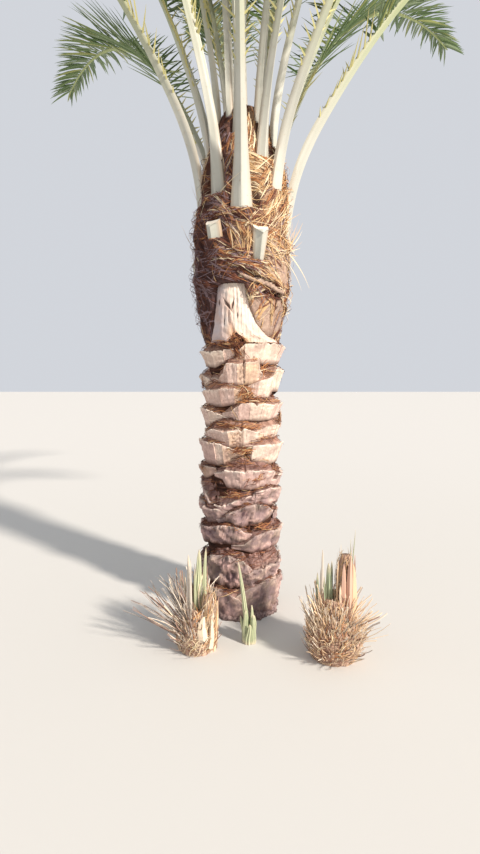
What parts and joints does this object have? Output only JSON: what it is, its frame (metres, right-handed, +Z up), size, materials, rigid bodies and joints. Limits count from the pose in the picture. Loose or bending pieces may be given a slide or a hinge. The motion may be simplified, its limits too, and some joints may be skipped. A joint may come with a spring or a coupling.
{
  "type": "date palm tree",
  "caption": "Date palm with a column of cut leaf bases, a fibre-wrapped heart, arching feather fronds and cut-back offshoots at its foot.",
  "frame": {"origin": "centre of the flat cut under the trunk, at ground level", "axes": "+Z up along the trunk; -Y is the side that the picture shows; +X to its right"},
  "size_m": [6.0919, 5.8178, 5.9826],
  "materials": {
    "trunk": "dry cut leaf bases, pale faces over brown fibre",
    "leaf_base": "dry, shaved",
    "fibre": "coarse brown fibre",
    "leaf_stalk": "smooth, waxy",
    "frond": "waxy grey-green leaflets on a pale stalk",
    "dry_stalk": "dry, straw-coloured",
    "spear": "satin leaf"
  },
  "bodies": {
    "root": {"trunk": "trunk", "cut_stalk_1": "leaf_stalk", "cut_stalk_2": "leaf_stalk", "cut_stalk_3": "leaf_stalk", "cut_stalk_4": "leaf_stalk", "cut_stalk_5": "leaf_stalk", "tall_leaf_base": "leaf_base", "fibre_wrap": "fibre", "frond_01_inner": "frond", "frond_01_outer": "frond", "frond_02_inner": "frond", "frond_02_outer": "frond", "frond_03_inner": "frond", "frond_03_outer": "frond", "frond_04_inner": "frond", "frond_04_outer": "frond", "frond_05_inner": "frond", "frond_05_outer": "frond", "frond_06_inner": "frond", "frond_06_outer": "frond", "frond_07_inner": "frond", "frond_07_outer": "frond", "frond_08_inner": "frond", "frond_08_outer": "frond", "frond_09_inner": "frond", "frond_09_outer": "frond", "frond_10_inner": "frond", "frond_10_outer": "frond", "frond_11_inner": "frond", "frond_11_outer": "frond", "frond_12_inner": "frond", "frond_12_outer": "frond", "frond_13": "frond", "frond_14": "frond", "frond_15": "frond", "frond_16": "frond", "frond_17": "frond", "frond_18": "frond", "frond_19": "frond", "frond_20": "frond", "frond_21": "frond", "frond_22": "frond", "frond_23": "frond", "frond_24": "frond", "offshoot_left_sheath": "fibre", "offshoot_left_stub": "dry_stalk", "offshoot_left_spear_1": "spear", "offshoot_left_spear_2": "spear", "offshoot_right_sheath": "fibre", "offshoot_right_stub": "dry_stalk", "offshoot_right_spear_1": "spear", "offshoot_right_spear_2": "spear", "offshoot_centre_stub": "dry_stalk", "offshoot_centre_spear_1": "spear"}
  },
  "joints": []
}
